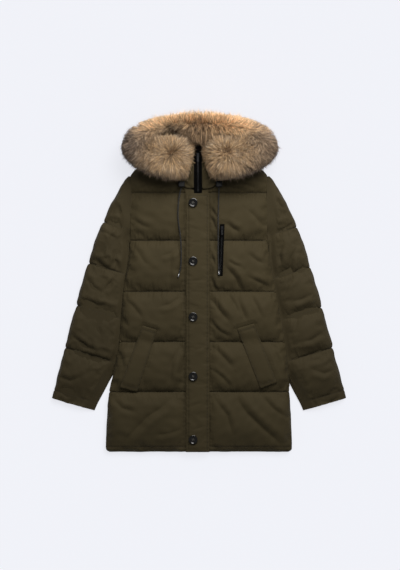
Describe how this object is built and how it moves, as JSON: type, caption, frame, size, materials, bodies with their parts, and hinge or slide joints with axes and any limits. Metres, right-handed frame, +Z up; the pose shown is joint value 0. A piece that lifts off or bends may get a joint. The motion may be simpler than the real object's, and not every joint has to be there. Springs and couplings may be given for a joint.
{
  "type": "fur trimmed parka",
  "caption": "Padded hip-length parka lying front up, with a fur trimmed hood, buttoned storm flap, zip chest pocket, slanted welt pockets and drawcords.",
  "frame": {"origin": "on the surface that the coat lies on, under the middle of its box", "axes": "+Z up, out of the coat's front; +Y from the hem to the hood; +X to the wearer's left"},
  "size_m": [0.919, 1.052, 0.142],
  "materials": {
    "shell": "matt olive woven cotton-nylon",
    "fur": "long golden brown imitation fur",
    "zip_tape": "black woven tape",
    "zip_metal": "black nickel",
    "button": "polished dark brown",
    "cord": "dark braided cord",
    "cord_metal": "bright metal",
    "lock_plastic": "black"
  },
  "bodies": {
    "coat": {"back": "shell", "front_right": "shell", "front_left": "shell", "sleeve_right": "shell", "sleeve_left": "shell", "storm_flap": "shell", "collar": "shell", "hood": "shell", "fur_trim": "fur", "pocket_welt_right": "shell", "pocket_welt_left": "shell", "main_zip": "zip_tape", "chest_zip": "zip_tape", "main_zip_slider": "zip_metal", "chest_zip_slider": "zip_metal", "button_1": "button", "button_2": "button", "button_3": "button", "button_4": "button", "button_5": "button", "drawcord_right": "cord", "drawcord_left": "cord", "cord_tip_right": "cord_metal", "cord_tip_left": "cord_metal", "cord_lock_right": "lock_plastic", "cord_lock_left": "lock_plastic"},
    "main_pull": {"main_zip_pull": "zip_metal"},
    "chest_pull": {"chest_zip_pull": "zip_metal"}
  },
  "joints": [
    {"name": "main_pull_hinge", "type": "hinge", "parent": "coat", "child": "main_pull", "pos_m": [-0.003, 0.398, 0.0591], "axis": [-1, 0, 0], "range_deg": [0, 150]},
    {"name": "chest_pull_hinge", "type": "hinge", "parent": "coat", "child": "chest_pull", "pos_m": [0.07202, 0.171, 0.04906], "axis": [-1, 0, 0], "range_deg": [0, 150]}
  ]
}
